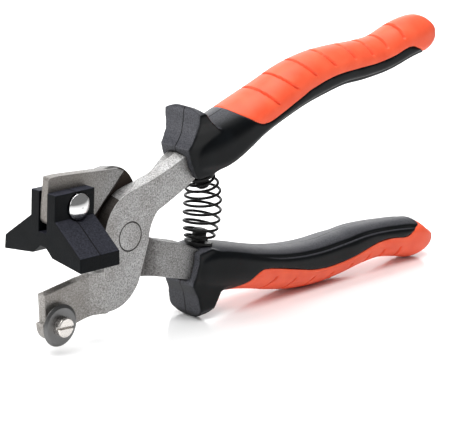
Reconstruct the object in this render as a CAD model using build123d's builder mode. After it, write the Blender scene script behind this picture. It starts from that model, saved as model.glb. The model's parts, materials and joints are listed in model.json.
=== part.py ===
from build123d import *
import math
import os

# Tile nippers: lap-joint pliers with a scoring wheel and anvil on the lower jaw and a swivelling
# two-winged breaker foot on the upper jaw. Millimetres.
#
# The outlines below are given in the tool's own side view: x runs along the tool from the pivot
# towards the handles, z is up in the plane in which the levers open, both measured from the
# pivot's centre. The tool stands on the lower grip's guard and heel, tilted by STANCE.

STANCE = 3.3  # degrees that the tool's centre line is raised towards the handles
PIVOT_X = -63.411
PIVOT_Z = 37.048

# levers
THICKNESS = 8.8  # of a lever's arm, across the tool
LAP_GAP = 0.1  # between the two lap faces
TANG_ROOT, TANG_TIP, TANG_T = 9.0, 5.5, 6.0  # tang widths at each end, and its thickness
DRAFT = 9.0  # degrees of forging draft on the levers' edges
PIVOT_R = 5.15
BORE_PLAY = 0.05  # radial, in running fits
AXIAL_PLAY = 0.05
MOUTH = 0.3  # chamfer at the pivot rivet's ends and round its bore
ANVIL_T = 3.5  # lower jaw plate
TONGUE_T = 3.7  # upper jaw tongue
V_LAND, V_DROP = 0.25, 0.8  # the lower jaw's V edge: half its flat, and its depth

# scoring wheel and its axle
WHEEL_X, WHEEL_Z = -32.7, -24.3
WHEEL_R, WHEEL_FLAT_R, WHEEL_T = 7.5, 6.35, 1.5
WHEEL_MID_Y = -3.65
BUSH_R = 3.0
SCREW_R = 2.0
HEAD_R, HEAD_H = 3.5, 2.6
SLOT_W, SLOT_D = 0.8, 1.1
NUT_AF, NUT_H = 7.0, 2.2
SLOT_ANGLE = -6.0
SPACER_R = 4.4
WASHER_R, WASHER_END = 4.5, 2.25
LOCK_R, LOCK_END = 3.6, 2.85
SCREW_END = 5.4

# breaker foot, in its own axes from the top front corner
FOOT_X, FOOT_Z = -35.62, 23.26
FOOT_LENGTH = 17.83
FOOT_TILT = -3.05
CHEEK_Y = 6.17
CHEEK_H = 9.15
WING_Y = 19.5
WING_TOP, WING_BOTTOM = 19.15, 24.25
SLOT_HALF = 2.08
SLOT_DEPTH = 14.2
ARCH_Y, ARCH_EDGE, ARCH_TOP = 4.96, 22.25, 19.2
FOOT_RIVET_X, FOOT_RIVET_Z = -25.4, 17.3
ARCH_FLAT = 1.5
FOOT_EDGE = 0.35
POCKET_R, POCKET_Y = 5.2, 5.7
BUSH_END = 5.87
RIVET_R, RIVET_END = 1.95, 6.9
FOOT_HEAD_R, FOOT_HEAD_H, HEAD_RIM = 4.65, 2.5, 0.9

# return spring
SPRING_LOW = (37.4, -11.6)
SPRING_HIGH = (38.7, 12.6)
SEAT_LOW, SEAT_HIGH = 8.0, 18.0  # degrees that each post leans to the line between the seats
WIRE_R = 0.45
COIL_END_R, COIL_MID_R = 4.5, 6.6
COIL_TURNS = 8
COIL_CLOSING = 0.2  # how much closer the end coils lie
POST_SHANK_R, POST_SHANK = 2.0, 2.6
POST_BASE_R, POST_BASE = 4.0, 0.8
COLLAR_R, COLLAR_H = 5.2, 0.9
PEG_R, PEG_H = 2.6, 4.6

# grips: stations along each grip as x, z, half height; half depths are shared
GRIP_DEPTHS = [7.7, 9.2, 10.3, 10.6, 10.0, 9.4, 8.9, 8.6, 8.2, 7.9, 7.9, 7.7, 6.9, 5.4, 3.6]
UPPER_SPINE = [
    (31, 21.6, 7.0), (40, 23.4, 9.4), (50, 26.5, 9.0), (60, 30.2, 7.9), (72, 34.0, 7.8),
    (84, 37.5, 8.3), (96, 39.5, 8.3), (108, 40.3, 7.6), (120, 39.9, 7.4), (132, 40.4, 7.2),
    (144, 43.1, 7.6), (152, 44.2, 7.5), (157, 44.4, 6.5), (160.5, 44.6, 4.4), (162.3, 44.7, 2.4),
]
LOWER_SPINE = [
    (31, -20.7, 7.0), (40, -22.4, 9.6), (50, -24.2, 8.8), (60, -26.9, 8.2), (72, -30.3, 8.2),
    (84, -32.8, 8.5), (96, -34.0, 8.6), (108, -33.9, 8.4), (120, -33.3, 7.9), (132, -33.8, 7.3),
    (144, -35.9, 7.6), (152, -38.0, 7.7), (157.5, -39.2, 5.9), (161.3, -39.2, 3.6), (163.4, -39.1, 1.8),
]
GUARD_REACH = 12.0
# finger guards: the side view as x, z and the front view's flank as y, z, ending at the crown
UPPER_GUARD = [
    (30.4, 14.4), (28.0, 18.6), (26.6, 23.0), (25.8, 26.2), (27.3, 28.2), (28.8, 31.0), (29.6, 34.5),
    (29.7, 38.4), (30.6, 40.3), (32.2, 39.6), (35.5, 35.2), (40.0, 31.5), (45.0, 29.0), (42.0, 16.0),
    (37.0, 14.4),
]
UPPER_GUARD_FRONT = [(7.7, 14.0), (7.4, 26.2), (7.9, 31.0), (8.9, 35.0), (9.1, 38.1), (0, 40.3)]
LOWER_GUARD = [
    (30.6, 13.4), (30.4, 17.0), (28.9, 21.4), (27.3, 24.7), (29.3, 28.9), (30.1, 33.3), (30.7, 36.6),
    (32.1, 38.9), (34.4, 39.0), (36.8, 36.6), (41.4, 30.2), (46.0, 29.0), (42.0, 15.0), (37.0, 12.8),
]
LOWER_GUARD_FRONT = [(7.8, 12.5), (7.5, 24.7), (8.0, 30.0), (8.4, 35.0), (0, 39.3)]
COVER_T = 2.4
GROOVE_W, GROOVE_D = 1.0, 0.6

# the plane of the side view: its x runs towards the handles, its y is up, its normal is -Y
lean = math.radians(STANCE)
side = Plane(
    origin=(PIVOT_X, 0, PIVOT_Z),
    x_dir=(math.cos(lean), 0, math.sin(lean)),
    z_dir=(0, -1, 0),
)


def place(x, z):
    """The point of the side view in the part's frame."""
    return side.from_local_coords((x, z, 0))


def at_depth(y):
    """The side view's plane, moved across the tool to y."""
    return side.offset(-y)


def cross_axis(x, z):
    """A plane through (x, z) whose y is the across-the-tool axis, for turned pieces."""
    return Plane(origin=place(x, z), x_dir=side.x_dir, z_dir=side.y_dir)


def plan_view(z):
    """The plane seen from above at height z of the side view; its x and y run as the tool's."""
    return Plane(origin=place(0, z), x_dir=side.x_dir, z_dir=side.y_dir)


def section_plane(x, z, slope):
    """A plane across a grip: its x is the part's Y, its y is up and its normal runs backwards."""
    along = side.x_dir * math.cos(slope) + side.y_dir * math.sin(slope)
    return Plane(origin=place(x, z), x_dir=(0, 1, 0), z_dir=along)


def tilted(x, z, degrees):
    """The side view's plane, with its origin at (x, z) and turned by an angle."""
    turn = math.radians(degrees)
    along = side.x_dir * math.cos(turn) + side.y_dir * math.sin(turn)
    return Plane(origin=place(x, z), x_dir=along, z_dir=(0, -1, 0))


half = THICKNESS / 2
lap = LAP_GAP / 2
foot_side = tilted(FOOT_X, FOOT_Z, FOOT_TILT)
foot_end = Plane(origin=foot_side.origin, x_dir=(0, 1, 0), z_dir=foot_side.x_dir)
os.makedirs("parts", exist_ok=True)


def lever_tang(spine):
    """The tapering tang that runs inside a grip, along its spine."""
    stations = [point for point in spine if point[0] <= 120]
    count = len(stations) - 1
    widths = [TANG_ROOT + (TANG_TIP - TANG_ROOT) * i / count for i in range(count + 1)]
    upper = [(x, z + w / 2) for (x, z, h), w in zip(stations, widths)]
    lower = [(x, z - w / 2) for (x, z, h), w in zip(stations, widths)]
    with BuildSketch(side) as tang:
        with BuildLine():
            Polyline(*upper, *reversed(lower), close=True)
        make_face()
    extrude(tang.sketch, amount=TANG_T / 2, both=True)


def bore_mouth(lever, radius):
    """The pivot bore's circular edges, from the near face to the far one."""
    circles = lever.edges().filter_by(GeomType.CIRCLE)
    return circles.filter_by(lambda edge: abs(edge.radius - radius) < 1e-4).sort_by(Axis.Y)


def tapering(outer_y, outer, inner_y, inner):
    """Joins an outline on a lever's outer face to a matching one on its inner face."""
    faces = []
    for y, outline in ((outer_y, outer), (inner_y, inner)):
        with BuildSketch(at_depth(y)) as face:
            with BuildLine():
                Polyline(*outline, close=True)
            make_face()
        faces.append(face.sketch)
    loft(faces, ruled=True)


def bevel(start, end, half_thickness):
    """Cuts both long corners off a plate's edge that runs from start to end in the side view."""
    run = place(*end) - place(*start)
    across = Plane(origin=place(*start), x_dir=(0, 1, 0), z_dir=run)
    t = half_thickness
    for face in (-1, 1):
        with BuildSketch(across) as corner:
            with BuildLine():
                Polyline(
                    (face * V_LAND, 1), (face * V_LAND, 0), (face * t, -V_DROP),
                    (face * (t + 1), -V_DROP), (face * (t + 1), 1), close=True,
                )
            make_face()
        extrude(corner.sketch, amount=run.length, mode=Mode.SUBTRACT)


# ---- front lever: upper grip's tang, near half of the lap, lower jaw ----
with BuildPart() as front_lever:
    lever_tang(UPPER_SPINE)
    with BuildSketch(at_depth(-half)):
        with BuildLine():
            Line((34, 25.6), (19.3, 20.6))
            ThreePointArc((19.3, 20.6), (9.6, 18.0), (0, 16.2))
            ThreePointArc((0, 16.2), (-8.7, 10.7), (-11.9, 1.0))
            Line((-11.9, 1.0), (-12.6, -9.8))
            Line((-12.6, -9.8), (-11.2, -24.9))
            ThreePointArc((-11.2, -24.9), (-1.6, -22.9), (3.8, -17.0))
            Line((3.8, -17.0), (8.8, -3.4))
            ThreePointArc((8.8, -3.4), (10.2, 2.2), (13.4, 6.4))
            ThreePointArc((13.4, 6.4), (23.1, 10.1), (34, 15.2))
            Line((34, 15.2), (34, 25.6))
        make_face()
    extrude(amount=half - lap, dir=(0, 1, 0), taper=-DRAFT)
    # far half of the arm, on a long slope down to the lap face
    tapering(
        half, [(34, 25.6), (23.9, 22.2), (23.9, 10.5), (34, 15.2)],
        -lap, [(34, 26.3), (14.1, 19.8), (14.1, 6.0), (34, 14.5)],
    )
    # far half of the jaw's root
    with BuildSketch(at_depth(half)):
        with BuildLine():
            Polyline((-11.8, -14.5), (-11.2, -24.9))
            ThreePointArc((-11.2, -24.9), (-4.5, -23.8), (0, -21.5))
            Line((0, -21.5), (-11.8, -14.5))
        make_face()
    extrude(amount=half + lap)
    # anvil plate, with the boss that holds the wheel's axle
    with BuildSketch(side):
        with BuildLine():
            Polyline((-11.6, -9.9), (-22.4, -10.4), (-36.6, -11.9))
            ThreePointArc((-36.6, -11.9), (-38.0, -12.6), (-38.5, -14.1))
            Line((-38.5, -14.1), (-38.2, -21.5))
            ThreePointArc((-38.2, -21.5), (-34.2, -30.2), (-26.8, -27.2))
            ThreePointArc((-26.8, -27.2), (-18.6, -25.7), (-11.6, -25.9))
            Line((-11.6, -25.9), (-11.6, -9.9))
        make_face()
    extrude(amount=ANVIL_T / 2, both=True)
    # its top edge and its end are bevelled from both faces to a blunt V
    bevel((-22.4, -10.4), (-17.0, -10.15), ANVIL_T / 2)
    bevel((-38.0, -12.05), (-22.4, -10.4), ANVIL_T / 2)
    bevel((-38.2, -23.0), (-38.55, -12.6), ANVIL_T / 2)
    # slopes from the root's full thickness to the plate
    for y_root, y_plate in ((-half, -ANVIL_T / 2), (half, ANVIL_T / 2)):
        with BuildSketch(plan_view(-25.3)):
            with BuildLine():
                Polyline((-17.5, y_plate), (-12.2, y_root), (-11.0, y_root), (-11.0, y_plate), close=True)
            make_face()
        extrude(amount=15.2)
    # pivot bore and axle hole
    with BuildSketch(at_depth(half)):
        Circle(PIVOT_R + BORE_PLAY)
    extrude(amount=THICKNESS, mode=Mode.SUBTRACT)
    with BuildSketch(at_depth(half)):
        with Locations((WHEEL_X, WHEEL_Z)):
            Circle(SCREW_R + BORE_PLAY)
    extrude(amount=THICKNESS, mode=Mode.SUBTRACT)
    chamfer(bore_mouth(front_lever, PIVOT_R + BORE_PLAY)[0], MOUTH)

# ---- rear lever: lower grip's tang, far half of the lap, upper jaw ----
with BuildPart() as rear_lever:
    lever_tang(LOWER_SPINE)
    with BuildSketch(at_depth(half)):
        with BuildLine():
            Line((34, -24.9), (18.8, -20.0))
            ThreePointArc((18.8, -20.0), (9.1, -17.3), (0, -15.6))
            ThreePointArc((0, -15.6), (-8.5, -10.4), (-11.9, -1.0))
            Polyline((-11.9, -1.0), (-11.0, 24.6), (-5.0, 25.0))
            ThreePointArc((-5.0, 25.0), (2.0, 21.8), (5.5, 16.2))
            Line((5.5, 16.2), (8.8, 3.4))
            ThreePointArc((8.8, 3.4), (10.2, -1.6), (13.4, -5.4))
            ThreePointArc((13.4, -5.4), (23.1, -9.0), (34, -13.6))
            Line((34, -13.6), (34, -24.9))
        make_face()
    extrude(amount=half - lap, taper=-DRAFT)
    # near half of the arm, sloping down to the lap face
    tapering(
        -half, [(34, -24.9), (18.8, -20.0), (14.0, -18.2), (14.0, -4.9), (23.9, -8.8), (34, -13.6)],
        lap, [(34, -25.6), (18.6, -20.7), (10.4, -18.0), (10.4, -3.5), (24.1, -8.1), (34, -12.9)],
    )
    # tongue that carries the foot, with the slope of the step beside it
    front = [(-34.9, 28.2), (-35.7, 11.5)]
    top = [(-3.0, 24.8), (-13.8, 26.1), (-29.6, 28.0)]
    with BuildSketch(at_depth(TONGUE_T / 2)):
        with BuildLine():
            Polyline(*front, (-17.0, 10.3), (-12.0, 6.0), (0, 12), *top, close=True)
        make_face()
    extrude(amount=TONGUE_T / 2 - lap)
    tapering(
        -TONGUE_T / 2, front + [(-17.0, 10.3), (-14.5, 10.3), (-0.4, 23.5)] + top,
        lap, front + [(-17.0, 10.3), (-13.4, 7.8), (1.3, 21.5)] + top,
    )
    # slope on the far side, from the body to the tongue
    with BuildSketch(plan_view(8.0)):
        with BuildLine():
            Polyline(
                (-16.0, TONGUE_T / 2), (-11.5, half), (-10.5, half), (-10.5, TONGUE_T / 2), close=True
            )
        make_face()
    extrude(amount=17.0)
    # pivot bore and the foot's bush hole
    with BuildSketch(at_depth(half)):
        Circle(PIVOT_R)
        with Locations((FOOT_RIVET_X, FOOT_RIVET_Z)):
            Circle(BUSH_R)
    extrude(amount=THICKNESS, mode=Mode.SUBTRACT)
    chamfer(bore_mouth(rear_lever, PIVOT_R)[-1], MOUTH)
    corners = rear_lever.edges().filter_by(Axis.Y).sort_by(Axis.X)[0:2].sort_by(Axis.Z)
    fillet(corners[0], 2.6)
    fillet(corners[1], 1.4)
    # the far corner of the tongue's end is cut away towards the top
    for z, inwards, backwards in ((11.0, 0.3, 0.6), (29.0, 2.6, 3.4)):
        with BuildSketch(plan_view(z)):
            with BuildLine():
                Polyline(
                    (-36.2, TONGUE_T / 2 + 1), (-36.2, TONGUE_T / 2 - inwards),
                    (-36.2 + backwards, TONGUE_T / 2 + 1), close=True,
                )
            make_face()
    loft(ruled=True, mode=Mode.SUBTRACT)

with BuildPart() as pivot_rivet:
    with BuildSketch(at_depth(half)):
        Circle(PIVOT_R)
    extrude(amount=THICKNESS)
    chamfer(pivot_rivet.edges(), MOUTH)

# ---- breaker foot and its rivet ----
with BuildPart() as breaker_foot:
    with BuildSketch(foot_end):
        with BuildLine() as outline:
            Polyline((0, 0), (CHEEK_Y, 0), (CHEEK_Y, -CHEEK_H), (WING_Y - 0.3, -WING_TOP))
            Polyline((WING_Y - 0.3, -WING_TOP), (WING_Y, -WING_BOTTOM), (ARCH_Y, -ARCH_EDGE))
            Line((ARCH_Y, -ARCH_EDGE), (ARCH_FLAT, -ARCH_TOP))
            Line((ARCH_FLAT, -ARCH_TOP), (0, -ARCH_TOP))
            mirror(about=Plane.YZ)
        make_face()
    extrude(amount=FOOT_LENGTH)
    fillet(breaker_foot.edges(), FOOT_EDGE)
    with BuildSketch(foot_end):
        with Locations((0, -SLOT_DEPTH / 2)):
            Rectangle(2 * SLOT_HALF, SLOT_DEPTH)
    extrude(amount=FOOT_LENGTH, mode=Mode.SUBTRACT)
    # bore for the bush, and a round pocket for each rivet head
    with BuildSketch(at_depth(WING_Y)):
        with Locations((FOOT_RIVET_X, FOOT_RIVET_Z)):
            Circle(BUSH_R + BORE_PLAY)
    extrude(amount=2 * WING_Y, mode=Mode.SUBTRACT)
    for pocket_plane in (at_depth(WING_Y), at_depth(-POCKET_Y)):
        with BuildSketch(pocket_plane):
            with Locations((FOOT_RIVET_X, FOOT_RIVET_Z)):
                Circle(POCKET_R)
        extrude(amount=WING_Y - POCKET_Y, mode=Mode.SUBTRACT)

with BuildPart() as foot_bush:
    with BuildSketch(at_depth(BUSH_END)):
        with Locations((FOOT_RIVET_X, FOOT_RIVET_Z)):
            Circle(BUSH_R)
            Circle(RIVET_R, mode=Mode.SUBTRACT)
    extrude(amount=2 * BUSH_END)

rivet_plane = cross_axis(FOOT_RIVET_X, FOOT_RIVET_Z)
rivet_axis = Axis(rivet_plane.origin, (0, 1, 0))
dome_h = FOOT_HEAD_H - HEAD_RIM
dome_r = (FOOT_HEAD_R**2 + dome_h**2) / (2 * dome_h)
with BuildPart() as foot_rivet:
    with BuildSketch(rivet_plane):
        with BuildLine():
            Polyline((0, RIVET_END), (RIVET_R, RIVET_END), (RIVET_R, -BUSH_END))
            Polyline((RIVET_R, -BUSH_END), (FOOT_HEAD_R, -BUSH_END), (FOOT_HEAD_R, -BUSH_END - HEAD_RIM))
            RadiusArc(
                (FOOT_HEAD_R, -BUSH_END - HEAD_RIM), (0, -BUSH_END - FOOT_HEAD_H), dome_r, short_sagitta=True
            )
            Line((0, -BUSH_END - FOOT_HEAD_H), (0, RIVET_END))
        make_face()
    revolve(axis=rivet_axis)

with BuildPart() as foot_rivet_cap:
    with BuildSketch(rivet_plane):
        with BuildLine():
            Polyline((0, RIVET_END), (RIVET_R, RIVET_END), (RIVET_R, BUSH_END), (FOOT_HEAD_R, BUSH_END))
            Line((FOOT_HEAD_R, BUSH_END), (FOOT_HEAD_R, BUSH_END + HEAD_RIM))
            RadiusArc(
                (FOOT_HEAD_R, BUSH_END + HEAD_RIM), (0, BUSH_END + FOOT_HEAD_H), -dome_r, short_sagitta=True
            )
            Line((0, BUSH_END + FOOT_HEAD_H), (0, RIVET_END))
        make_face()
    revolve(axis=rivet_axis)

# ---- scoring wheel on its screw ----
wheel_plane = cross_axis(WHEEL_X, WHEEL_Z)
wheel_axis = Axis(wheel_plane.origin, (0, 1, 0))
near_face = WHEEL_MID_Y - WHEEL_T / 2
far_face = WHEEL_MID_Y + WHEEL_T / 2
head_base = near_face - AXIAL_PLAY
spacer_face = far_face + AXIAL_PLAY

with BuildPart() as scoring_wheel:
    with BuildSketch(wheel_plane):
        with BuildLine():
            Polyline(
                (BUSH_R + BORE_PLAY, near_face), (WHEEL_FLAT_R, near_face), (WHEEL_R, WHEEL_MID_Y),
                (WHEEL_FLAT_R, far_face), (BUSH_R + BORE_PLAY, far_face), close=True,
            )
        make_face()
    revolve(axis=wheel_axis)


def ring(y_low, y_high, inner, outer):
    """A plain ring round the wheel's axle."""
    with BuildSketch(at_depth(y_high)) as face:
        with Locations((WHEEL_X, WHEEL_Z)):
            Circle(outer)
            Circle(inner, mode=Mode.SUBTRACT)
    extrude(face.sketch, amount=y_high - y_low)


with BuildPart() as wheel_bush:
    ring(head_base, spacer_face, SCREW_R, BUSH_R)

with BuildPart() as wheel_spacer:
    ring(spacer_face, -ANVIL_T / 2, SCREW_R, SPACER_R)

with BuildPart() as axle_washer:
    ring(ANVIL_T / 2, WASHER_END, SCREW_R + 0.1, WASHER_R)

with BuildPart() as axle_lock_washer:
    ring(WASHER_END, LOCK_END, SCREW_R + 0.1, LOCK_R)
    # the split across one side
    with BuildSketch(tilted(WHEEL_X, WHEEL_Z, 35)):
        with Locations((LOCK_R, 0)):
            Rectangle(LOCK_R * 1.6, 0.8)
    extrude(amount=LOCK_END + 1, both=True, mode=Mode.SUBTRACT)

with BuildPart() as axle_nut:
    with BuildSketch(at_depth(LOCK_END + NUT_H)):
        with Locations((WHEEL_X, WHEEL_Z)):
            RegularPolygon(NUT_AF / 2, 6, major_radius=False)
            Circle(SCREW_R, mode=Mode.SUBTRACT)
    extrude(amount=NUT_H)

with BuildPart() as wheel_screw:
    with BuildSketch(wheel_plane):
        with BuildLine():
            Polyline(
                (0, SCREW_END), (SCREW_R - 0.4, SCREW_END), (SCREW_R, SCREW_END - 0.4),
                (SCREW_R, head_base), (HEAD_R, head_base), (HEAD_R, head_base - HEAD_H + 0.35),
                (HEAD_R - 0.35, head_base - HEAD_H), (0, head_base - HEAD_H), close=True,
            )
        make_face()
    revolve(axis=wheel_axis)
    with BuildSketch(tilted(WHEEL_X, WHEEL_Z, SLOT_ANGLE).offset(HEAD_H - head_base)):
        Rectangle(3 * HEAD_R, SLOT_W)
    extrude(amount=-SLOT_D, mode=Mode.SUBTRACT)

# ---- return spring and the posts that hold its ends ----
spring_rise = math.hypot(SPRING_HIGH[0] - SPRING_LOW[0], SPRING_HIGH[1] - SPRING_LOW[1])
spring_lean = math.degrees(math.atan2(SPRING_LOW[0] - SPRING_HIGH[0], SPRING_HIGH[1] - SPRING_LOW[1]))
spring_plane = tilted(*SPRING_LOW, spring_lean)
low_slope = math.tan(math.radians(SEAT_LOW))
high_slope = math.tan(math.radians(SEAT_HIGH))


def coil_point(share):
    """A point of the barrel-shaped coil on its bowed axis, for a share of its length from 0 to 1."""
    turn = 2 * math.pi * COIL_TURNS * share
    radius = COIL_END_R + (COIL_MID_R - COIL_END_R) * math.sin(math.pi * share) ** 0.7
    closing = COIL_CLOSING * math.sin(2 * math.pi * share) / (2 * math.pi)
    height = WIRE_R + (spring_rise - 2 * WIRE_R) * (share - closing)
    bow = spring_rise * (
        low_slope * (share - 2 * share**2 + share**3) - high_slope * (share**3 - share**2)
    )
    slope = math.atan(
        low_slope * (1 - 4 * share + 3 * share**2) - high_slope * (3 * share**2 - 2 * share)
    )
    sideways = radius * math.cos(turn)
    return spring_plane.from_local_coords(
        (bow + sideways * math.cos(slope), height - sideways * math.sin(slope), -radius * math.sin(turn))
    )


with BuildPart() as return_spring:
    with BuildLine() as coil:
        Spline(*[coil_point(i / (12 * COIL_TURNS)) for i in range(12 * COIL_TURNS + 1)])
    with BuildSketch(Plane(origin=coil.line @ 0, z_dir=coil.line % 0)):
        Circle(WIRE_R)
    sweep(is_frenet=True)


def spring_post(seat, lean_degrees):
    """A turned post: buried shank, base, collar under the coil and the peg inside it."""
    plane = tilted(*seat, lean_degrees)
    under = -COLLAR_H - POST_BASE
    with BuildSketch(plane) as profile:
        with BuildLine():
            Polyline(
                (0, under - POST_SHANK), (POST_SHANK_R, under - POST_SHANK), (POST_SHANK_R, under),
                (POST_BASE_R, under), (POST_BASE_R, -COLLAR_H), (COLLAR_R, -COLLAR_H), (COLLAR_R, 0),
                (PEG_R, 0), (PEG_R, PEG_H - 0.7), (PEG_R - 0.7, PEG_H), (0, PEG_H), close=True,
            )
        make_face()
    revolve(profile.sketch, axis=Axis(plane.origin, plane.y_dir))


with BuildPart() as lower_spring_post:
    spring_post(SPRING_LOW, spring_lean - SEAT_LOW)

with BuildPart() as upper_spring_post:
    spring_post(SPRING_HIGH, spring_lean + SEAT_HIGH + 180)

# ---- grips ----


def grip_slope(spine, i):
    """The direction of a grip's spine at one station."""
    x0, z0, h0 = spine[max(i - 1, 0)]
    x1, z1, h1 = spine[min(i + 1, len(spine) - 1)]
    return math.atan2(z1 - z0, x1 - x0)


def grip_body(spine, outward, inset):
    """A grip lofted along its spine: half round outside, gently crowned with shoulders inside."""
    with BuildPart() as body:
        for i, (x, z, height) in enumerate(spine):
            b = GRIP_DEPTHS[i] - inset
            h = height - inset
            if min(b, h) < 1:
                break
            k = min(1, h / 8)
            shoulder = b - min(1.0, b / 4)
            side_foot = -outward * (h - 4.0 * k)
            edge = -outward * (h - 2.0 * k)
            first = 0 if outward > 0 else 180
            with BuildSketch(section_plane(x, z, grip_slope(spine, i))):
                with BuildLine():
                    EllipticalCenterArc((0, 0), b, h, start_angle=first, arc_size=180)
                    Line((outward * -b, 0), (outward * -b, side_foot))
                    Line((outward * -b, side_foot), (outward * -shoulder, edge))
                    ThreePointArc(
                        (outward * -shoulder, edge), (0, -outward * h), (outward * shoulder, edge)
                    )
                    Line((outward * shoulder, edge), (outward * b, side_foot))
                    Line((outward * b, side_foot), (outward * b, 0))
                make_face()
        loft()
    return body.part


def grip_guard(outward, side_view, front_view):
    """The finger guard at a grip's front: its side view cut to its front view."""
    with BuildPart() as guard:
        with BuildSketch(side):
            with BuildLine():
                Polyline(*[(x, outward * z) for x, z in side_view], close=True)
            make_face()
        extrude(amount=GUARD_REACH, both=True)
        with BuildSketch(Plane(origin=side.origin, x_dir=(0, 1, 0), z_dir=side.x_dir)):
            with BuildLine():
                flank = [(y, outward * z) for y, z in front_view[:-1]]
                far_side = [(-y, z) for y, z in reversed(flank)]
                crown = (0, outward * front_view[-1][1])
                Polyline(*flank)
                ThreePointArc(flank[-1], crown, far_side[0])
                Polyline(*far_side, flank[0])
            make_face()
        extrude(amount=60, mode=Mode.INTERSECT)
    return guard.part


def cover_zone(boundary, outward):
    """The side-view region that the soft cover takes, across the whole grip."""
    far = 62 * outward
    with BuildPart() as zone:
        with BuildSketch(side):
            with BuildLine():
                Spline(*boundary)
                Polyline(boundary[-1], (178, boundary[-1][1]), (178, far), (boundary[0][0], far), boundary[0])
            make_face()
        extrude(amount=30, both=True)
    return zone.part


def groove_band(crown, end, outward):
    """One arc groove's band in the side view, across the whole grip."""
    mid = (crown[0] + (end[0] - crown[0]) * 0.38, crown[1] + (end[1] - crown[1]) * 0.55)
    w = GROOVE_W / 2
    with BuildPart() as band:
        with BuildSketch(side):
            with BuildLine():
                ThreePointArc((crown[0] - w, crown[1]), (mid[0] - w, mid[1]), (end[0] - w, end[1]))
                Line((end[0] - w, end[1]), (end[0] + w, end[1]))
                ThreePointArc((end[0] + w, end[1]), (mid[0] + w, mid[1]), (crown[0] + w, crown[1]))
                Line((crown[0] + w, crown[1]), (crown[0] - w, crown[1]))
            make_face()
        extrude(amount=30, both=True)
    return band.part


UPPER_BOUNDARY = [
    (46.5, 41.0), (49.5, 35.6), (54.6, 32.1), (59.5, 29.6), (66.0, 30.0), (80.7, 34.7), (91.3, 37.8),
    (102, 39.4), (113, 39.5), (124, 39.4), (134, 40.3), (143, 42.2), (149, 40.4), (157.5, 35.2), (160, 31),
]
LOWER_BOUNDARY = [
    (44.0, -37.0), (47.5, -32.0), (53.8, -29.6), (58.6, -26.6), (64.0, -26.6), (81.5, -31.6), (91, -34),
    (102, -35.0), (115, -34.2), (126.4, -32.6), (136, -32.9), (144.1, -34.2), (149, -32.6),
    (157.5, -30.0), (160, -27),
]
UPPER_GROOVES = [
    (63.4, 69.6, 34.4), (72.7, 80.1, 38.0), (84.3, 90.5, 40.8), (96.1, 101.3, 42.5),
    (109.2, 112.6, 43.0), (120.3, 122.6, 42.4), (129.9, 131.3, 43.6), (140.1, 140.6, 45.6),
]
LOWER_GROOVES = [
    (61.4, 68.6, -30.6), (72.7, 79.6, -34.2), (84.3, 90.5, -36.6), (96.1, 101.3, -37.8),
    (109.2, 112.6, -37.2), (120.3, 122.6, -35.9), (129.9, 131.3, -36.2), (140.1, 140.6, -37.4),
]


def make_grip(spine, outward, boundary, grooves, guard, lever, post):
    """Cuts one grip into its hard core and its soft cover."""
    body = grip_body(spine, outward, 0)
    cover = (body & cover_zone(boundary, outward)) - grip_body(spine, outward, COVER_T)
    floor = grip_body(spine, outward, GROOVE_D)
    for crown_x, end_x, end_z in grooves:
        crown = (crown_x, end_z + outward * 9)
        cover -= groove_band(crown, (end_x, end_z), outward) - floor
    shell = body + grip_guard(outward, *guard)
    core = shell - (body & cover_zone(boundary, outward)) + (
        grip_body(spine, outward, COVER_T) & cover_zone(boundary, outward)
    )
    return core - lever - post, cover


upper_core, upper_cover = make_grip(
    UPPER_SPINE, 1, UPPER_BOUNDARY, UPPER_GROOVES, (UPPER_GUARD, UPPER_GUARD_FRONT),
    front_lever.part, upper_spring_post.part,
)
lower_core, lower_cover = make_grip(
    LOWER_SPINE, -1, LOWER_BOUNDARY, LOWER_GROOVES, (LOWER_GUARD, LOWER_GUARD_FRONT),
    rear_lever.part, lower_spring_post.part,
)

with BuildPart() as upper_grip_core:
    add(upper_core)
with BuildPart() as upper_grip_cover:
    add(upper_cover)
with BuildPart() as lower_grip_core:
    add(lower_core)
with BuildPart() as lower_grip_cover:
    add(lower_cover)

pieces = {
    "front_lever": front_lever,
    "rear_lever": rear_lever,
    "pivot_rivet": pivot_rivet,
    "breaker_foot": breaker_foot,
    "foot_bush": foot_bush,
    "foot_rivet": foot_rivet,
    "foot_rivet_cap": foot_rivet_cap,
    "scoring_wheel": scoring_wheel,
    "wheel_bush": wheel_bush,
    "wheel_spacer": wheel_spacer,
    "wheel_screw": wheel_screw,
    "axle_washer": axle_washer,
    "axle_lock_washer": axle_lock_washer,
    "axle_nut": axle_nut,
    "return_spring": return_spring,
    "upper_spring_post": upper_spring_post,
    "lower_spring_post": lower_spring_post,
    "upper_grip_core": upper_grip_core,
    "upper_grip_cover": upper_grip_cover,
    "lower_grip_core": lower_grip_core,
    "lower_grip_cover": lower_grip_cover,
}
for name, piece in pieces.items():
    piece.part.label = name
    export_step(piece.part, f"parts/{name}.step")
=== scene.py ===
import json
import math

import bmesh
import bpy
import numpy as np
from mathutils import Matrix, Vector


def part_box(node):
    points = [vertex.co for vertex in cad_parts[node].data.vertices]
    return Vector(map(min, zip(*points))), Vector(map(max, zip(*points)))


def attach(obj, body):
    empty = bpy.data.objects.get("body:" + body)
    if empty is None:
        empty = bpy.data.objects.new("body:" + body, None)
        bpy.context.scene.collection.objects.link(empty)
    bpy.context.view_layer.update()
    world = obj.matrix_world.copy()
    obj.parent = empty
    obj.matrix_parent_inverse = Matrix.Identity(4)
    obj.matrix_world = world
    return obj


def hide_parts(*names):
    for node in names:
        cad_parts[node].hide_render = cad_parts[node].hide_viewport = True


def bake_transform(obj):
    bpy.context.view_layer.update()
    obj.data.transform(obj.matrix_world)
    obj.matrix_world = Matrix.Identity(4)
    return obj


# Tile nippers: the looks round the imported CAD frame. Lengths in the tables below are in
# millimetres, in the tool's own side view: x along the tool from the pivot towards the handles,
# y across it, z up in the plane in which the levers open.

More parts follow.
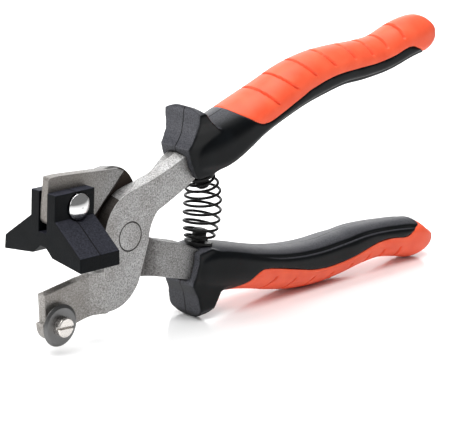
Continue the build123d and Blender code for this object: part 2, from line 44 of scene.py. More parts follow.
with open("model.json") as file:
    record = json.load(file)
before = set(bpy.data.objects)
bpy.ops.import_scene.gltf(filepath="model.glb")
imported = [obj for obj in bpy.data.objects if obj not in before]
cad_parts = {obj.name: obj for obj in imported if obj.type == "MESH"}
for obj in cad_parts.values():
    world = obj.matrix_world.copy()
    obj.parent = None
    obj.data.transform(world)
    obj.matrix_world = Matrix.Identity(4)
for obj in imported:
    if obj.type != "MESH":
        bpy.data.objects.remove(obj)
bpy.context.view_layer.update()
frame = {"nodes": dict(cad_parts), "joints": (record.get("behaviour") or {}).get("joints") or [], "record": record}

MM = 0.001
STANCE = math.radians(3.3)
PIVOT = Vector(next(j for j in frame["joints"] if j["name"] == "handle_pivot")["pos_m"])
TOOL = Matrix.Rotation(-STANCE, 3, "Y")


def tool_direction(x, y, z):
    """A direction of the tool's own side view, in the frame's axes."""
    return TOOL @ Vector((x, y, z))


def tool_point(x, y, z):
    """A point given in the tool's own millimetres, in the frame."""
    return PIVOT + tool_direction(x, y, z) * MM


def tool_points(points):
    """Many points at once, as rows of an array."""
    return np.array(PIVOT) + (np.asarray(points) @ np.array(TOOL).T) * MM


# ---- camera, floor and light ----
CAMERA_TURN, CAMERA_RISE = math.radians(-45.509), math.radians(18.312)
CAMERA_AWAY, CAMERA_RIGHT, CAMERA_UP = 869.63, 39.18, 5.45
LENS = 191.9
SKY = 0.22  # brightness of the even sky
FLOOR_REACH = 6.0  # of the floor from the middle, in metres
# softboxes: name, place and target in metres, side in metres, power in watts
SOFTBOXES = [
    ("softbox_top", (-0.3, 0.1, 2.2), (0, 0, 0), 2.6, 95),
    ("softbox_left", (-0.9, -0.35, 0.55), (0, 0, 0.04), 0.45, 2.5),
    ("softbox_front", (-0.95, 0.8, 0.28), (0, 0, 0.05), 0.6, 3.5),
    ("softbox_back", (0.8, 1.0, 0.55), (0, 0, 0.04), 0.9, 6),
]


def make_camera():
    """A long lens, placed by its angles and its offsets from the pivot."""
    right = Vector((math.cos(CAMERA_TURN), math.sin(CAMERA_TURN), 0))
    level = Vector((math.sin(CAMERA_TURN), -math.cos(CAMERA_TURN), 0))
    back = level * math.cos(CAMERA_RISE) + Vector((0, 0, math.sin(CAMERA_RISE)))
    up = back.cross(right)
    place = back * CAMERA_AWAY + right * CAMERA_RIGHT + up * CAMERA_UP
    data = bpy.data.cameras.new("camera")
    data.lens = LENS
    data.sensor_width = 36
    data.clip_end = 50
    camera = bpy.data.objects.new("camera", data)
    bpy.context.scene.collection.objects.link(camera)
    turned = Matrix((TOOL @ right, TOOL @ up, TOOL @ back)).transposed()
    camera.matrix_world = Matrix.Translation(tool_point(*place)) @ turned.to_4x4()
    bpy.context.scene.camera = camera


def make_light(name, place, target, size, power):
    """A square softbox that faces the target."""
    data = bpy.data.lights.new(name, "AREA")
    data.shape = "SQUARE"
    data.size = size
    data.energy = power
    light = bpy.data.objects.new(name, data)
    bpy.context.scene.collection.objects.link(light)
    aim = (Vector(target) - Vector(place)).to_track_quat("-Z", "Y")
    light.matrix_world = Matrix.Translation(place) @ aim.to_matrix().to_4x4()


def make_stage():
    """A pale floor under an even, pale sky, lit by the softboxes."""
    scene = bpy.context.scene
    scene.view_settings.view_transform = "Standard"
    world = bpy.data.worlds.new("sky")
    world.use_nodes = True
    world.node_tree.nodes["Background"].inputs["Color"].default_value = (1, 1, 1, 1)
    world.node_tree.nodes["Background"].inputs["Strength"].default_value = SKY
    scene.world = world
    mesh = bpy.data.meshes.new("floor")
    ways = ((-1, -1), (1, -1), (1, 1), (-1, 1))
    corners = [(x * FLOOR_REACH, y * FLOOR_REACH, 0) for x, y in ways]
    mesh.from_pydata(corners, [], [(0, 1, 2, 3)])
    floor = bpy.data.objects.new("floor", mesh)
    scene.collection.objects.link(floor)
    paint = Paint("floor", 0.16)
    paint.shader.inputs["Base Color"].default_value = (0.94, 0.94, 0.94, 1)
    paint.shader.inputs["Specular IOR Level"].default_value = 0.3
    mesh.materials.append(paint.material)
    for softbox in SOFTBOXES:
        make_light(*softbox)


# ---- materials ----
RIVET_R = 5.2  # of the joint line round the pivot rivet
RIVET_LINE = 0.34  # half width of that line
JAWS_FROM = 36  # how far forward of the pivot the jaws' stain is full
DARK_STEP_AND_BAND_COLOUR = (0.030, 0.021, 0.016, 1)  # painted shadow on the rear lever's step, and a darker band across its arm
# painted shade on the front lever's edge wall that faces the upper jaw
WALL_SHADE_COLOUR = (0.030, 0.022, 0.017, 1)
# where the painted shade and the dark band lie, in millimetres: forward and up from the pivot, and across the tool
STEP_FORWARD, STEP_UP, STEP_ACROSS = 17, (3, 24), (-1.75, 0.3)
BAND_FORWARD, BAND_WIDTH, BAND_UNEVEN = -11.6, 6, 2.4
WALL_FORWARD, WALL_UP, WALL_ACROSS = 5.6, 1, -4.2
PARTING_HALF = 0.3  # half width of a moulding's parting line


class Paint:
    """A node material under construction, with short calls for its textures."""

    def __init__(self, name, roughness, metallic=0.0):
        self.material = bpy.data.materials.new(name)
        self.material.use_nodes = True
        self.tree = self.material.node_tree
        self.shader = self.tree.nodes["Principled BSDF"]
        self.shader.inputs["Roughness"].default_value = roughness
        self.shader.inputs["Metallic"].default_value = metallic
        spots = self.node("ShaderNodeTexCoord").outputs
        self.place, self.facing = spots["Object"], spots["Normal"]

    def node(self, kind, **inputs):
        """Adds a node; each input is a value or another node's socket."""
        made = self.tree.nodes.new(kind)
        for name, value in inputs.items():
            self.feed(made.inputs[name.replace("_", " ")], value)
        return made

    def feed(self, socket, value):
        """Sets or links one socket."""
        if isinstance(value, bpy.types.NodeSocket):
            self.tree.links.new(value, socket)
        else:
            socket.default_value = value

    def noise(self, size_mm, detail=2.0, rough=0.5, stretch=(1, 1, 1)):
        """Noise whose features are about size_mm across."""
        place = self.node("ShaderNodeMapping", Vector=self.place, Scale=stretch)
        texture = self.node("ShaderNodeTexNoise", Vector=place.outputs["Vector"],
                            Scale=1 / (size_mm * MM), Detail=detail, Roughness=rough)
        return texture.outputs["Fac"]

    def math(self, operation, first, second=0.0):
        """One step of arithmetic on two values."""
        made = self.tree.nodes.new("ShaderNodeMath")
        made.operation = operation
        self.feed(made.inputs[0], first)
        self.feed(made.inputs[1], second)
        return made.outputs["Value"]

    def all_of(self, *masks):
        """1 where every mask is 1."""
        both = masks[0]
        for mask in masks[1:]:
            both = self.math("MULTIPLY", both, mask)
        return both

    def over(self, value, limit_mm):
        """1 where a length is over a limit."""
        return self.math("GREATER_THAN", value, limit_mm * MM)

    def under(self, value, limit_mm):
        """1 where a length is under a limit."""
        return self.math("LESS_THAN", value, limit_mm * MM)

    def share(self, value, size_mm):
        """A length as a share of a size."""
        return self.math("MULTIPLY", value, 1 / (size_mm * MM))

    def ramp(self, value, low, high, dark=(0, 0, 0, 1), light=(1, 1, 1, 1)):
        """A colour that runs from dark at low to light at high."""
        made = self.node("ShaderNodeValToRGB", Fac=value)
        first, last = made.color_ramp.elements
        first.position, first.color = low, dark
        last.position, last.color = high, light
        return made.outputs["Color"]

    def mix(self, share, first, second, blend="MIX"):
        """Two colours mixed by a share."""
        made = self.tree.nodes.new("ShaderNodeMix")
        made.data_type = "RGBA"
        made.blend_type = blend
        self.feed(made.inputs[0], share)
        self.feed(made.inputs[6], first)
        self.feed(made.inputs[7], second)
        return made.outputs[2]

    def colour(self, value):
        """What the surface's base colour is."""
        self.feed(self.shader.inputs["Base Color"], value)

    def roughness(self, value):
        """A roughness that varies over the surface."""
        self.feed(self.shader.inputs["Roughness"], value)

    def bump(self, height, depth_mm, strength=1.0, under=None):
        """Relief from a height between 0 and 1, depth_mm deep."""
        made = self.node("ShaderNodeBump", Height=height, Strength=strength, Distance=depth_mm * MM)
        if under is not None:
            self.feed(made.inputs["Normal"], under)
        self.feed(self.shader.inputs["Normal"], made.outputs["Normal"])

    def towards(self, direction, low, high):
        """How squarely the surface faces a direction of the tool, from 0 at low to 1 at high."""
        dot = self.tree.nodes.new("ShaderNodeVectorMath")
        dot.operation = "DOT_PRODUCT"
        self.feed(dot.inputs[0], self.facing)
        self.feed(dot.inputs[1], tuple(tool_direction(*direction).normalized()))
        return self.ramp(dot.outputs["Value"], low, high)

    def soft_edges(self, radius_mm):
        """Normals rounded over the edges, and how near an edge each point is."""
        bevel = self.node("ShaderNodeBevel", Radius=radius_mm * MM)
        bevel.samples = 6
        flat = self.node("ShaderNodeNewGeometry").outputs["Normal"]
        dot = self.tree.nodes.new("ShaderNodeVectorMath")
        dot.operation = "DOT_PRODUCT"
        self.feed(dot.inputs[0], bevel.outputs["Normal"])
        self.feed(dot.inputs[1], flat)
        edge = self.math("SUBTRACT", 1.0, dot.outputs["Value"])
        return bevel.outputs["Normal"], edge


def grey(value, warmth=0.0):
    """A grey, warmed a little towards red or cooled towards blue."""
    return (value * (1 + warmth), value, value * (1 - warmth), 1)


def step_shadow_and_band(paint, forward, across, up):
    """How much the rear lever is darkened: painted shadow all over the step between its tongue and
    its lap, where the front lever shades it, and a soft darker band across its arm."""
    step = paint.all_of(
        paint.under(forward, STEP_FORWARD), paint.over(up, STEP_UP[0]), paint.under(up, STEP_UP[1]),
        paint.over(across, STEP_ACROSS[0]), paint.under(across, STEP_ACROSS[1]),
    )
    off = paint.math("ABSOLUTE", paint.math("ADD", forward, -BAND_FORWARD * MM))
    uneven = paint.math("MULTIPLY", paint.noise(2.5, 3), BAND_UNEVEN * MM)
    outside = paint.ramp(paint.share(paint.math("ADD", off, uneven), BAND_WIDTH), 0.35, 0.95)
    band = paint.math("MULTIPLY", paint.math("SUBTRACT", 1.0, outside), 0.5)
    return paint.math("MAXIMUM", step, band)


def wall_shade(paint, forward, across, up):
    """How much painted shade lies on the front lever: on its edge wall that faces the upper jaw."""
    wall = paint.all_of(
        paint.over(across, WALL_ACROSS), paint.over(forward, WALL_FORWARD), paint.over(up, WALL_UP)
    )
    return paint.math("MULTIPLY", wall, 0.9)


def blasted_steel(name, light, stain, rear=False):
    """Forged steel, blasted: fine speckle, cloudy patches, edges painted brighter as wear and as a
    painted highlight, painted shadow on the rear lever's step, painted shade on the front lever's edge
    wall, a darker band across the rear arm and a dark joint line round the pivot rivet. The stain is how
    much browner it gets towards the jaws."""
    paint = Paint(name, 0.42, 0.85)
    grain = paint.ramp(
        paint.noise(0.62, 5, 0.85), 0.38, 0.63, grey(0.20 * light, 0.01), grey(0.82 * light)
    )
    clouds = paint.ramp(paint.noise(7, 4, 0.6), 0.32, 0.7, grey(0.74, 0.02), grey(1.0))
    base = paint.mix(1.0, grain, clouds, "MULTIPLY")
    normal, edge = paint.soft_edges(0.5)
    # edges painted brighter: partly wear, partly a painted highlight where the edges catch the light
    wear_and_sheen = paint.ramp(edge, 0.03, 0.25)
    base = paint.mix(wear_and_sheen, base, grey(0.75 * light, 0.01))
    apart = paint.node("ShaderNodeSeparateXYZ", Vector=paint.place)
    forward = paint.math("SUBTRACT", PIVOT.x, apart.outputs["X"])
    across = apart.outputs["Y"]
    up = paint.math("SUBTRACT", apart.outputs["Z"], PIVOT.z)
    uneven = paint.math("MULTIPLY", paint.noise(5, 3), 8 * MM)
    jaws = paint.ramp(paint.share(paint.math("ADD", forward, uneven), JAWS_FROM), 0.25, 0.75)
    brown = (0.30 * light, 0.265 * light, 0.23 * light, 1)
    base = paint.mix(paint.math("MULTIPLY", jaws, stain), base, brown)
    if rear:
        # painted shadow on the rear lever's step, and a darker band across its arm
        base = paint.mix(step_shadow_and_band(paint, forward, across, up), base, DARK_STEP_AND_BAND_COLOUR)
    else:
        # painted shade on the front lever's edge wall
        base = paint.mix(wall_shade(paint, forward, across, up), base, WALL_SHADE_COLOUR)
    squares = [paint.math("MULTIPLY", length, length) for length in (forward, up)]
    away = paint.math("SQRT", paint.math("ADD", *squares))
    off = paint.math("ABSOLUTE", paint.math("SUBTRACT", away, RIVET_R * MM))
    joint = paint.ramp(paint.share(off, RIVET_LINE), 0.35, 1.0)
    paint.colour(paint.mix(joint, grey(0.06, 0.1), base))
    paint.roughness(paint.math("ADD", paint.math("MULTIPLY", paint.noise(0.5), 0.25), 0.34))
    paint.bump(paint.noise(0.5, 4, 0.8), 0.10, 0.9, normal)
    return paint.material


def ground_steel(name, base, roughness, warmth=0.0):
    """Turned or ground steel: fine scratches and edges rubbed brighter."""
    paint = Paint(name, roughness, 1.0)
    streaks = paint.noise(0.16, 3, 0.6, (1, 6, 1))
    tint = paint.ramp(streaks, 0.3, 0.7, grey(base * 0.72, warmth), grey(base * 1.1, warmth))
    normal, edge = paint.soft_edges(0.25)
    paint.colour(paint.mix(paint.ramp(edge, 0.02, 0.3), tint, grey(min(1, base * 1.4), warmth)))
    uneven = paint.math("MULTIPLY", paint.noise(1.2), 0.2)
    paint.roughness(paint.math("ADD", uneven, roughness - 0.1))
    paint.bump(streaks, 0.012, 0.5, normal)
    return paint.material


def plastic(name, dark, light, roughness, grain_mm, depth_mm,
            gloss=0.35, painted_sheen=None, wear_and_sheen=(), parting=None):
    """Moulded plastic with a fine grain and slightly uneven gloss. The painted sheen is a paler colour
    painted on the sides that face the given directions, each a direction with its ramp's ends, as a gloss
    of light. A parting is the axis, middle and wander of a thin dark parting line."""
    paint = Paint(name, roughness)
    paint.shader.inputs["Specular IOR Level"].default_value = gloss
    base = paint.ramp(paint.noise(6, 3), 0.3, 0.75, dark, light)
    # painted sheen: the sides that face the given directions are painted paler, as a gloss of light
    if painted_sheen:
        share = 0.0
        for direction, low, high in wear_and_sheen:
            share = paint.math("MAXIMUM", share, paint.towards(direction, low, high))
        speckle = paint.ramp(paint.noise(grain_mm * 1.4, 4, 0.7), 0.2, 0.62)
        base = paint.mix(paint.math("MULTIPLY", share, speckle), base, painted_sheen)
    if parting:
        apart = paint.node("ShaderNodeSeparateXYZ", Vector=paint.place)
        axis, middle, bend = parting
        wander = paint.math("MULTIPLY", paint.math("SUBTRACT", paint.noise(28, 2), 0.5), bend)
        wander = paint.math("ADD", wander, middle)
        off = paint.math("ABSOLUTE", paint.math("SUBTRACT", apart.outputs[axis], wander))
        line = paint.ramp(paint.share(off, PARTING_HALF), 0.45, 1.0)
        base = paint.mix(line, grey(0.0005), base)
    paint.colour(base)
    paint.roughness(
        paint.math("ADD", paint.math("MULTIPLY", paint.noise(3.0), 0.16), roughness - 0.08)
    )
    normal, _ = paint.soft_edges(0.3)
    paint.bump(paint.noise(grain_mm, 3, 0.6), depth_mm, 0.8, normal)
    return paint.material


def make_materials():
    """Every material, by the name of the record's slot that it finishes."""
    low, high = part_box("breaker_foot")
    foot_middle = (low[0] + high[0]) / 2
    return {
        "blasted_steel": blasted_steel("blasted_steel", 0.80, 0.5),
        "rivet_steel": ground_steel("rivet_steel", 0.45, 0.40),
        "carbide": ground_steel("carbide", 0.19, 0.38),
        "plated_steel": ground_steel("plated_steel", 0.78, 0.26, 0.05),
        "chrome": ground_steel("chrome", 0.82, 0.14),
        "spring_wire": plastic("spring_wire", grey(0.002), grey(0.004), 0.34, 0.4, 0.01, 0.16),
        # the foot's upward tops get a painted sheen
        "foot_plastic": plastic(
            "foot_plastic", grey(0.0010, -0.5), grey(0.0024, -0.5), 0.5, 0.45, 0.16, 0.10,
            (0.033, 0.034, 0.046, 1), [((0, 0, 1), 0.30, 0.85)], ("X", foot_middle, 2 * MM),
        ),
        "post_plastic": plastic("post_plastic", grey(0.002), grey(0.004), 0.36, 0.4, 0.02, 0.2),
        # the grips' upward crowns and the guards' fronts get a painted sheen
        "grip_black": plastic(
            "grip_black", grey(0.0018, -0.3), grey(0.0040, -0.3), 0.38, 0.35, 0.03, 0.15,
            (0.090, 0.091, 0.104, 1), [((0, 0, 1), 0.72, 1.0), ((-1, 0, 0.25), 0.66, 1.0)],
            ("Y", 0.0, 5 * MM),
        ),
        "grip_orange": plastic(
            "grip_orange", (0.87, 0.092, 0.034, 1), (0.94, 0.128, 0.052, 1), 0.48, 0.35, 0.03
        ),
    }


def finish_nodes(materials):
    """Gives each carried-over CAD node its slot's material. The rear lever is darker than the
    front one, and the pivot rivet is blasted with the levers."""
    for part in frame["record"]["subparts"]:
        mesh = nodes[part["node"]].data
        mesh.materials.clear()
        mesh.materials.append(materials[part["material_slot"]])
    # the rear lever's steel is darker than the front lever's, and carries the painted shadow on its step
    nodes["rear_lever"].data.materials[0] = blasted_steel("stained_and_shaded_steel", 0.59, 0.6, rear=True)
    nodes["pivot_rivet"].data.materials[0] = materials["blasted_steel"]


# ---- meshes ----
def new_piece(name, points, faces, material):
    """A smooth-shaded mesh object from tool points and faces."""
    mesh = bpy.data.meshes.new(name)
    mesh.from_pydata([tuple(p) for p in tool_points(points)], [], faces)
    mesh.update()
    mesh.materials.append(material)
    piece = bpy.data.objects.new(name, mesh)
    bpy.context.scene.collection.objects.link(piece)
    return piece


def grid_faces(rows, ring):
    """Faces of a tube of rows x ring points, closed at both ends by a fan to two last points."""
    faces = []
    for i in range(rows - 1):
        for j in range(ring):
            k = (j + 1) % ring
            faces.append((i * ring + j, i * ring + k, (i + 1) * ring + k, (i + 1) * ring + j))
    first, last = rows * ring, rows * ring + 1
    faces += [(first, (j + 1) % ring, j) for j in range(ring)]
    base = (rows - 1) * ring
    faces += [(last, base + j, base + (j + 1) % ring) for j in range(ring)]
    return faces


def tube(rings):
    """Points and faces of a closed tube through a list of rings of points."""
    rows, ring = len(rings), len(rings[0])
    points = np.concatenate([np.concatenate(rings), [rings[0].mean(0)], [rings[-1].mean(0)]])
    return points, grid_faces(rows, ring)


def outward_normals(piece):
    """Turns every face outwards."""
    work = bmesh.new()
    work.from_mesh(piece.data)
    bmesh.ops.recalc_face_normals(work, faces=work.faces)
    work.to_mesh(piece.data)
    work.free()


def apply_modifiers(piece):
    """Keeps what the piece's modifiers make of it."""
    graph = bpy.context.evaluated_depsgraph_get()
    graph.update()
    made = bpy.data.meshes.new_from_object(piece.evaluated_get(graph))
    piece.modifiers.clear()
    piece.data = made


def cut(piece, other, operation):
    """A boolean with another closed mesh, which is then removed."""
    modifier = piece.modifiers.new(operation.lower(), "BOOLEAN")
    modifier.operation = operation
    modifier.object = other
    modifier.solver = "EXACT"
    apply_modifiers(piece)
    bpy.data.objects.remove(other)


def shade(piece, degrees):
    """Smooth shading, with edges sharper than the angle kept crisp."""
    piece.data.shade_smooth()
    piece.data.set_sharp_from_angle(angle=math.radians(degrees))


# ---- return spring ----
SPRING_LOW, SPRING_HIGH = (37.4, -11.6), (38.7, 12.6)
SEAT_LOW, SEAT_HIGH = math.radians(8), math.radians(18)
WIRE_R = 0.52
COIL_END_R, COIL_MID_R = 4.5, 6.6
COIL_TURNS = 8
COIL_CLOSING = 0.2
COIL_STEPS, WIRE_SIDES = 40, 14


def coil_line(share):
    """Points of the barrel coil's bowed centre line, for shares of its length from 0 to 1."""
    rise = math.hypot(SPRING_HIGH[0] - SPRING_LOW[0], SPRING_HIGH[1] - SPRING_LOW[1])
    lean = math.atan2(SPRING_LOW[0] - SPRING_HIGH[0], SPRING_HIGH[1] - SPRING_LOW[1])
    low, high = math.tan(SEAT_LOW), math.tan(SEAT_HIGH)
    turn = 2 * math.pi * COIL_TURNS * share
    radius = COIL_END_R + (COIL_MID_R - COIL_END_R) * np.sin(math.pi * share) ** 0.7
    closing = COIL_CLOSING * np.sin(2 * math.pi * share) / (2 * math.pi)
    height = WIRE_R + (rise - 2 * WIRE_R) * (share - closing)
    bow = rise * (low * (share - 2 * share**2 + share**3) - high * (share**3 - share**2))
    slope = np.arctan(low * (1 - 4 * share + 3 * share**2) - high * (3 * share**2 - 2 * share))
    sideways = radius * np.cos(turn)
    across = bow + sideways * np.cos(slope)
    up = height - sideways * np.sin(slope)
    x = SPRING_LOW[0] + across * math.cos(lean) - up * math.sin(lean)
    z = SPRING_LOW[1] + across * math.sin(lean) + up * math.cos(lean)
    return np.stack([x, radius * np.sin(turn), z], axis=1)


def make_spring(materials):
    """The coil as a round wire with cut ends, bowed between the two levers."""
    share = np.linspace(0, 1, COIL_TURNS * COIL_STEPS + 1)
    line = coil_line(np.clip(share, 1e-6, 1 - 1e-6))
    along = np.gradient(line, axis=0)
    along /= np.linalg.norm(along, axis=1)[:, None]
    side = np.cross(along, (0, 0, 1.0))
    side /= np.linalg.norm(side, axis=1)[:, None]
    over = np.cross(side, along)
    rings = []
    for centre, u, v in zip(line, side, over):
        angles = np.linspace(0, 2 * math.pi, WIRE_SIDES, endpoint=False)[:, None]
        rings.append(centre + WIRE_R * (np.cos(angles) * u + np.sin(angles) * v))
    spring = new_piece("return_coil", *tube(rings), materials["spring_wire"])
    outward_normals(spring)
    shade(spring, 50)
    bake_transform(spring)
    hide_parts("return_spring")


# ---- grips ----
# stations along each grip as x, z, half height; the half depths are shared
GRIP_DEPTHS = [7.7, 9.2, 10.3, 10.6, 10.0, 9.4, 8.9, 8.6, 8.2, 7.9, 7.9, 7.7, 6.9, 5.4, 3.6]
UPPER_SPINE = [
    (31, 21.6, 7.0), (40, 23.4, 9.4), (50, 26.5, 9.0), (60, 30.2, 7.9), (72, 34.0, 7.8),
    (84, 37.5, 8.3), (96, 39.5, 8.3), (108, 40.3, 7.6), (120, 39.9, 7.4), (132, 40.4, 7.2),
    (144, 43.1, 7.6), (152, 44.2, 7.5), (157, 44.4, 6.5), (160.5, 44.6, 4.4), (162.3, 44.7, 2.4),
]
LOWER_SPINE = [
    (31, -20.7, 7.0), (40, -22.4, 9.6), (50, -24.2, 8.8), (60, -26.9, 8.2), (72, -30.3, 8.2),
    (84, -32.8, 8.5), (96, -34.0, 8.6), (108, -33.9, 8.4), (120, -33.3, 7.9), (132, -33.8, 7.3),
    (144, -35.9, 7.6), (152, -38.0, 7.7), (157.5, -39.2, 5.9), (161.3, -39.2, 3.6),
    (163.4, -39.1, 1.8),
]
# where the soft cover begins, in the side view
UPPER_BOUNDARY = [
    (46.5, 41.0), (49.5, 35.6), (54.6, 32.1), (59.5, 29.6), (66.0, 30.0), (80.7, 34.7),
    (91.3, 37.8), (102, 39.4), (113, 39.5), (124, 39.4), (134, 40.3), (143, 42.2), (149, 40.4),
    (157.5, 35.2), (160, 31),
]
LOWER_BOUNDARY = [
    (44.0, -37.0), (47.5, -32.0), (53.8, -29.6), (58.6, -26.6), (64.0, -26.6), (81.5, -31.6),
    (91, -34), (102, -35.0), (115, -34.2), (126.4, -32.6), (136, -32.9), (144.1, -34.2),
    (149, -32.6), (157.5, -30.0), (160, -27),
]
# each arc groove's crown x, and the x and z at its end on the side
UPPER_GROOVES = [
    (63.4, 69.6, 34.4), (72.7, 80.1, 38.0), (84.3, 90.5, 40.8), (96.1, 101.3, 42.5),
    (109.2, 112.6, 43.0), (120.3, 122.6, 42.4), (129.9, 131.3, 43.6), (140.1, 140.6, 45.6),
]
LOWER_GROOVES = [
    (61.4, 68.6, -30.6), (72.7, 79.6, -34.2), (84.3, 90.5, -36.6), (96.1, 101.3, -37.8),
    (109.2, 112.6, -37.2), (120.3, 122.6, -35.9), (129.9, 131.3, -36.2), (140.1, 140.6, -37.4),
]
COVER_T = 2.4
GROOVE_HALF, GROOVE_DEPTH, GROOVE_RISE = 0.75, 1.2, 9.0
SEAM_HALF, SEAM_DEPTH = 0.45, 0.35
GRID_STEP = 0.3  # between a grip's rings
ZONE_END, ZONE_FAR, ZONE_SIDE = 178, 62, 30  # how far the cover's zone reaches past the grip
VOXEL = 0.42
CROWN_FROM, CROWN_TO = 56, 156  # where a core's inner crown is trued and creased
CROWN_FADE_IN, CROWN_FADE_OUT = 14, 8
CROWN_BEFORE, CROWN_AFTER = 4, 6  # how much further the crown is measured at each end
CROWN_STRIP, CROWN_BIN = 1.5, 2.0  # half width measured, and length averaged
CREASE_DEPTH, CREASE_HALF = 0.75, 0.75
CREASE_SIDE, CREASE_DOWN = 0.9, 2.2  # of the crease from the side and the crown


def curve_through(points, count):
    """count points of a smooth curve through the given ones (Catmull-Rom)."""
    points = np.asarray(points, float)
    ends = np.vstack([2 * points[0] - points[1], points, 2 * points[-1] - points[-2]])
    t = np.linspace(0, len(points) - 1, count)
    i = np.minimum(t.astype(int), len(points) - 2)
    f = (t - i)[:, None]
    a, b, c, d = ends[i], ends[i + 1], ends[i + 2], ends[i + 3]
    return 0.5 * (2 * b + (c - a) * f + (2 * a - 5 * b + 4 * c - d) * f**2
                  + (3 * b - a - 3 * c + d) * f**3)


def grip_section(b, h, outward):
    """One cross section as y, z: half an ellipse outside, shoulders and a low crown inside."""
    k = min(1, h / 8)
    shoulder = b - min(1.0, b / 4)
    foot, edge = h - 4.0 * k, h - 2.0 * k
    round_half = [(b * math.cos(a), h * math.sin(a)) for a in np.linspace(0, math.pi, 65)]
    flank = [(-b, -foot * s) for s in (0.35, 0.7, 0.9, 1.0)]
    slope = [(-b + (b - shoulder) * s, -foot - (edge - foot) * s) for s in (0.25, 0.5, 0.75, 1.0)]
    crown = []
    for s in np.linspace(-1, 1, 33)[1:-1]:
        crown.append((shoulder * s, -h + (h - edge) * s * s))
    mirrored = [(-y, z) for y, z in reversed(flank + slope)]
    ring = np.array(round_half + flank + slope + crown + mirrored)
    # the corners of the inner side are eased a little
    for _ in range(2):
        eased = (np.roll(ring, 1, axis=0) + 2 * ring + np.roll(ring, -1, axis=0)) / 4
        ring[66:-1] = eased[66:-1]
    ring[:, 1] *= outward
    return ring


def grip_rings(spine, outward, inset):
    """Rings of tool points along a grip, inset from its surface."""
    stations = [(x, z, h, b) for (x, z, h), b in zip(spine, GRIP_DEPTHS) if min(b, h) - inset >= 1]
    count = int((stations[-1][0] - stations[0][0]) / GRID_STEP)
    fine = curve_through(stations, count)
    slopes = np.arctan2(np.gradient(fine[:, 1]), np.gradient(fine[:, 0]))
    rings = []
    for (x, z, h, b), slope in zip(fine, slopes):
        section = grip_section(b - inset, h - inset, outward)
        rings.append(np.stack([
            x - section[:, 1] * math.sin(slope),
            section[:, 0],
            z + section[:, 1] * math.cos(slope),
        ], axis=1))
    return rings


def distance_to(line, x, z):
    """Each side-view point's distance to a polyline."""
    start, end = line[:-1], line[1:]
    run = end - start
    best = np.full(len(x), 1e9)
    for (ax, az), (dx, dz) in zip(start, run):
        t = np.clip(((x - ax) * dx + (z - az) * dz) / (dx * dx + dz * dz), 0, 1)
        best = np.minimum(best, np.hypot(x - ax - t * dx, z - az - t * dz))
    return best


def groove_depth(x, z, grooves, outward):
    """How deep the arc grooves are at side-view points."""
    depth = np.zeros(len(x))
    for crown_x, end_x, end_z in grooves:
        down = np.clip((end_z + outward * GROOVE_RISE - z) / (outward * GROOVE_RISE), 0, 1.3)
        middle = crown_x + (end_x - crown_x) * (0.313 * down + 0.687 * down**2)
        across = np.clip(1 - ((x - middle) / GROOVE_HALF) ** 2, 0, 1)
        ending = np.clip((1.03 - down) / 0.1, 0, 1)
        depth = np.maximum(depth, GROOVE_DEPTH * across**1.5 * ending * ending * (3 - 2 * ending))
    return depth


def cover_zone(boundary, outward, name):
    """A prism over the side-view region that the cover takes."""
    line = curve_through(boundary, 160)
    far = ZONE_FAR * outward
    outline = [tuple(p) for p in line]
    outline += [(ZONE_END, line[-1][1]), (ZONE_END, far), (line[0][0], far)]
    count = len(outline)
    points = [(x, side, z) for side in (-ZONE_SIDE, ZONE_SIDE) for x, z in outline]
    faces = [tuple(range(count)), tuple(range(2 * count - 1, count - 1, -1))]
    faces += [(i, (i + 1) % count, count + (i + 1) % count, count + i) for i in range(count)]
    zone = new_piece(name, points, faces, None)
    outward_normals(zone)
    return zone, line


def grip_cover(name, spine, outward, boundary, grooves, material):
    """The soft cover, with its arc grooves and its edge sunk a little along the seam."""
    zone, line = cover_zone(boundary, outward, name + "_zone")
    rings = grip_rings(spine, outward, 0)
    points, faces = tube(rings)
    cover = new_piece(name, points, faces, material)
    outward_normals(cover)
    normals = np.zeros(len(points) * 3)
    cover.data.vertices.foreach_get("normal", normals)
    x, z = points[:, 0], points[:, 2]
    depth = groove_depth(x, z, grooves, outward)
    seam = np.clip(1 - distance_to(line, x, z) / SEAM_HALF, 0, 1) * SEAM_DEPTH
    moved = tool_points(points) - normals.reshape(-1, 3) * (np.maximum(depth, seam) * MM)[:, None]
    cover.data.vertices.foreach_set("co", moved.ravel())
    cover.data.update()
    cut(cover, zone, "INTERSECT")
    inner = new_piece(name + "_inner", *tube(grip_rings(spine, outward, COVER_T)), None)
    outward_normals(inner)
    cut(cover, inner, "DIFFERENCE")
    shade(cover, 40)
    return cover


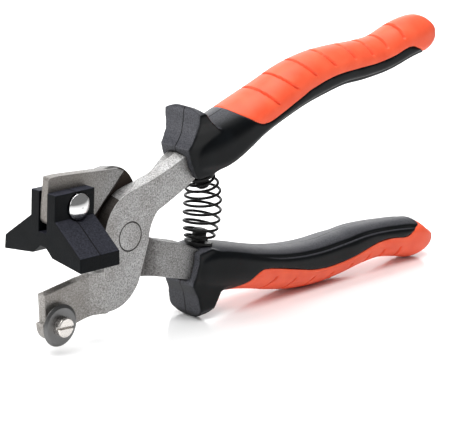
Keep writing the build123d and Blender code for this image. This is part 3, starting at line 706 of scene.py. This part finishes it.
def finish_crown(core, spine, outward):
    """Trues the grip's inner crown to its smooth curve, and presses a shallow crease along both
    of its shoulders."""
    count = len(core.data.vertices)
    place, normals = np.zeros(count * 3), np.zeros(count * 3)
    core.data.vertices.foreach_get("co", place)
    core.data.vertices.foreach_get("normal", normals)
    place, normals = place.reshape(-1, 3), normals.reshape(-1, 3)
    x, y, z = ((place - np.array(PIVOT)) / MM @ np.array(TOOL)).T
    fine = curve_through([(a, b, h, d) for (a, b, h), d in zip(spine, GRIP_DEPTHS)], 400)
    slopes = np.arctan2(np.gradient(fine[:, 1]), np.gradient(fine[:, 0]))
    middle, half, depth, slope = (
        np.interp(x, fine[:, 0], row) for row in (fine[:, 1], fine[:, 2], fine[:, 3], slopes)
    )
    inward = -outward * (z - middle) * np.cos(slope)
    ends = np.clip((x - CROWN_FROM) / CROWN_FADE_IN, 0, 1)
    ends = ends * np.clip((CROWN_TO - x) / CROWN_FADE_OUT, 0, 1)

    # how far the crown's middle is from the curve, station by station
    first, last = CROWN_FROM - CROWN_BEFORE, CROWN_TO + CROWN_AFTER
    strip = (np.abs(y) < CROWN_STRIP) & (inward > 0.7 * half) & (x > first) & (x < last)
    bins = np.arange(first, last, CROWN_BIN)
    slot = np.digitize(x[strip], bins) - 1
    found = np.maximum(np.bincount(slot, minlength=len(bins)), 1)
    short = np.bincount(slot, (half - inward)[strip], len(bins)) / found
    lift = np.interp(x, bins + CROWN_BIN / 2, short) * np.clip(inward / half, 0, 1) ** 2 * ends
    inner_way = np.stack([np.sin(slope), 0 * slope, -np.cos(slope)], axis=1) * outward
    place = place + (inner_way @ np.array(TOOL).T) * (lift * MM)[:, None]
    inward = inward + lift

    scale = np.minimum(1, half / 8)
    off = np.hypot(
        np.abs(y) - (depth - CREASE_SIDE * scale), inward - (half - CREASE_DOWN * scale)
    )
    push = CREASE_DEPTH * np.exp(-(off / CREASE_HALF) ** 2) * ends * MM
    core.data.vertices.foreach_set("co", (place - normals * push[:, None]).ravel())
    core.data.update()


def grip_core(name, node, spine, outward, material):
    """The hard core and its finger guard, its moulded edges softened."""
    mesh = nodes[node].data.copy()
    mesh.name = name
    work = bmesh.new()
    work.from_mesh(mesh)
    bmesh.ops.remove_doubles(work, verts=work.verts, dist=1e-6)
    work.to_mesh(mesh)
    work.free()
    core = bpy.data.objects.new(name, mesh)
    bpy.context.scene.collection.objects.link(core)
    remesh = core.modifiers.new("remesh", "REMESH")
    remesh.mode = "VOXEL"
    remesh.voxel_size = VOXEL * MM
    smooth = core.modifiers.new("smooth", "SMOOTH")
    smooth.factor = 0.5
    smooth.iterations = 10
    apply_modifiers(core)
    finish_crown(core, spine, outward)
    core.data.materials.clear()
    core.data.materials.append(material)
    core.data.shade_smooth()
    return core


def make_grips(materials):
    """Both grips, each as a hard core and a soft cover."""
    for side, body, spine, outward, boundary, grooves in (
        ("upper", "front_lever", UPPER_SPINE, 1, UPPER_BOUNDARY, UPPER_GROOVES),
        ("lower", "rear_lever", LOWER_SPINE, -1, LOWER_BOUNDARY, LOWER_GROOVES),
    ):
        orange, black = materials["grip_orange"], materials["grip_black"]
        cover = grip_cover(side + "_cover", spine, outward, boundary, grooves, orange)
        core = grip_core(side + "_core", side + "_grip_core", spine, outward, black)
        for piece, node, slot in ((cover, "cover", "grip_orange"), (core, "core", "grip_black")):
            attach(piece, body)
            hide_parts(f"{side}_grip_{node}")


nodes = frame["nodes"]
make_camera()
make_stage()
materials = make_materials()
finish_nodes(materials)
make_spring(materials)
make_grips(materials)
